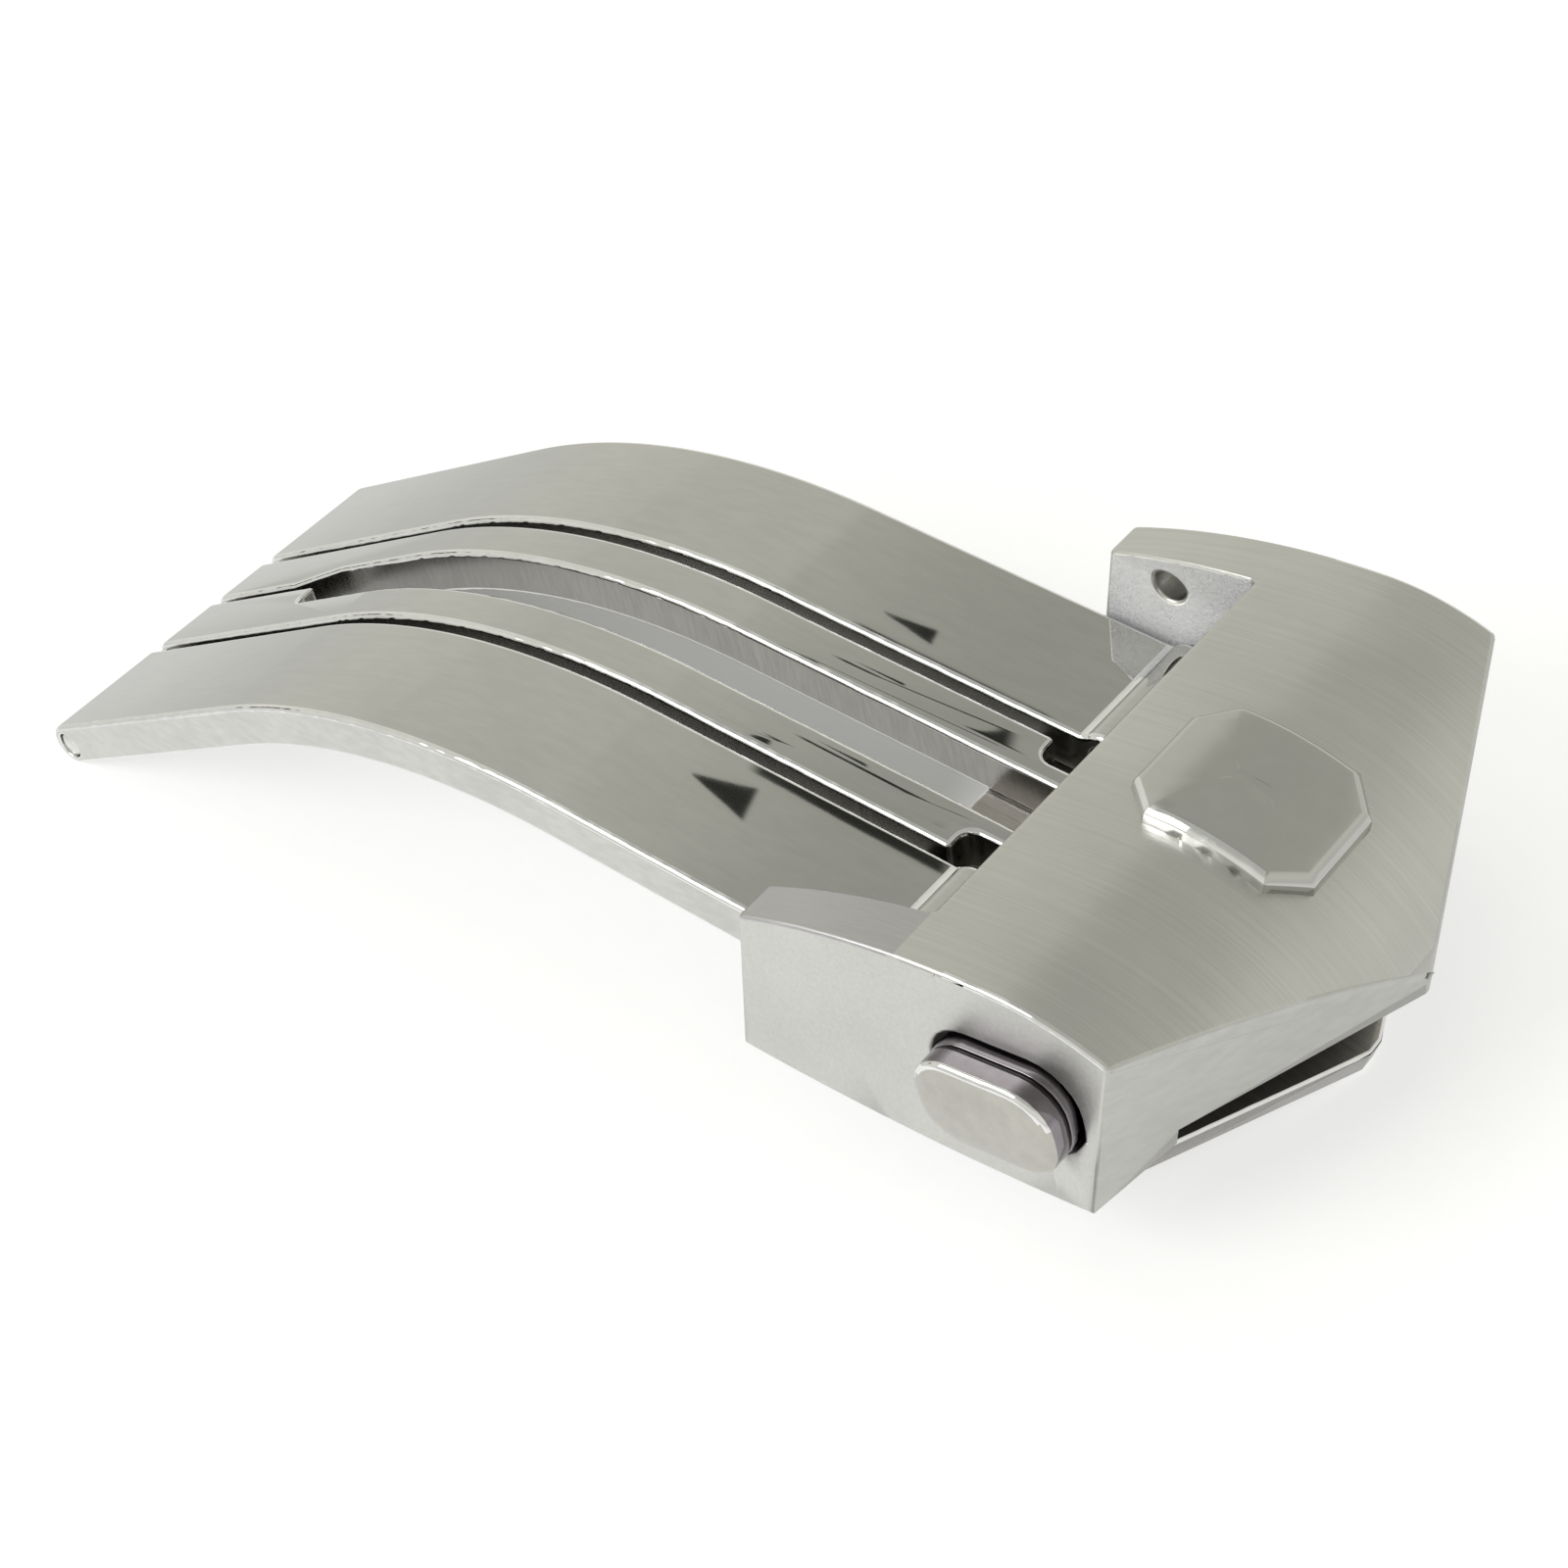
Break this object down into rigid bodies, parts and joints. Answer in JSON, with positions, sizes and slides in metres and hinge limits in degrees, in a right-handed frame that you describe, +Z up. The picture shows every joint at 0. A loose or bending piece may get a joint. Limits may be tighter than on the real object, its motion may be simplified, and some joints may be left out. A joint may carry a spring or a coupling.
{
  "type": "watch strap deployant clasp",
  "caption": "Folding clasp for a leather watch strap: curved strips hinged at one end, and a pointed cover with spring bar ears and push buttons on both sides.",
  "frame": {"origin": "centre of the bounding box at the surface that the closed clasp lies on", "axes": "+X from the fold to the pointed front, +Y from the near side to the far side, +Z up"},
  "size_m": [0.0566, 0.0236, 0.0109],
  "materials": {
    "polished_steel": "mirror polished",
    "satin_steel": "long grain brushed top and satin sides",
    "brushed_steel": "brushed",
    "pin_steel": "turned",
    "spring_steel": "drawn wire"
  },
  "bodies": {
    "inner_blade": {"inner_blade": "polished_steel", "strap_plate": "brushed_steel", "plate_rivets": "pin_steel", "strap_peg": "polished_steel", "catch_bracket": "brushed_steel", "catch_screws": "pin_steel"},
    "outer_arms": {"near_arm": "polished_steel", "far_arm": "polished_steel", "fold_pin": "pin_steel"},
    "cover": {"cover": "satin_steel", "badge_plate": "polished_steel", "near_hinge_pin": "pin_steel", "far_hinge_pin": "pin_steel", "latch_housing": "brushed_steel", "housing_screws": "pin_steel", "near_spring": "spring_steel", "far_spring": "spring_steel"},
    "near_button": {"near_button": "polished_steel", "near_hook": "brushed_steel", "near_hook_screw": "pin_steel"},
    "far_button": {"far_button": "polished_steel", "far_hook": "brushed_steel", "far_hook_screw": "pin_steel"}
  },
  "joints": [
    {"name": "fold", "type": "hinge", "parent": "inner_blade", "child": "outer_arms", "pos_m": [-0.02746, 0, 0.00088], "axis": [0, -1, 0], "range_deg": [0, 150]},
    {"name": "cover_pivot", "type": "hinge", "parent": "outer_arms", "child": "cover", "pos_m": [0.01447, 0, 0.00558], "axis": [0, -1, 0], "range_deg": [0, 80]},
    {"name": "near_press", "type": "slide", "parent": "cover", "child": "near_button", "axis": [0, 1, 0], "range_m": [0, 0.001], "stiffness_N_per_m": 400, "springref_m": -0.001, "deforming": ["near_spring"]},
    {"name": "far_press", "type": "slide", "parent": "cover", "child": "far_button", "axis": [0, -1, 0], "range_m": [0, 0.001], "stiffness_N_per_m": 400, "springref_m": -0.001, "deforming": ["far_spring"]}
  ]
}
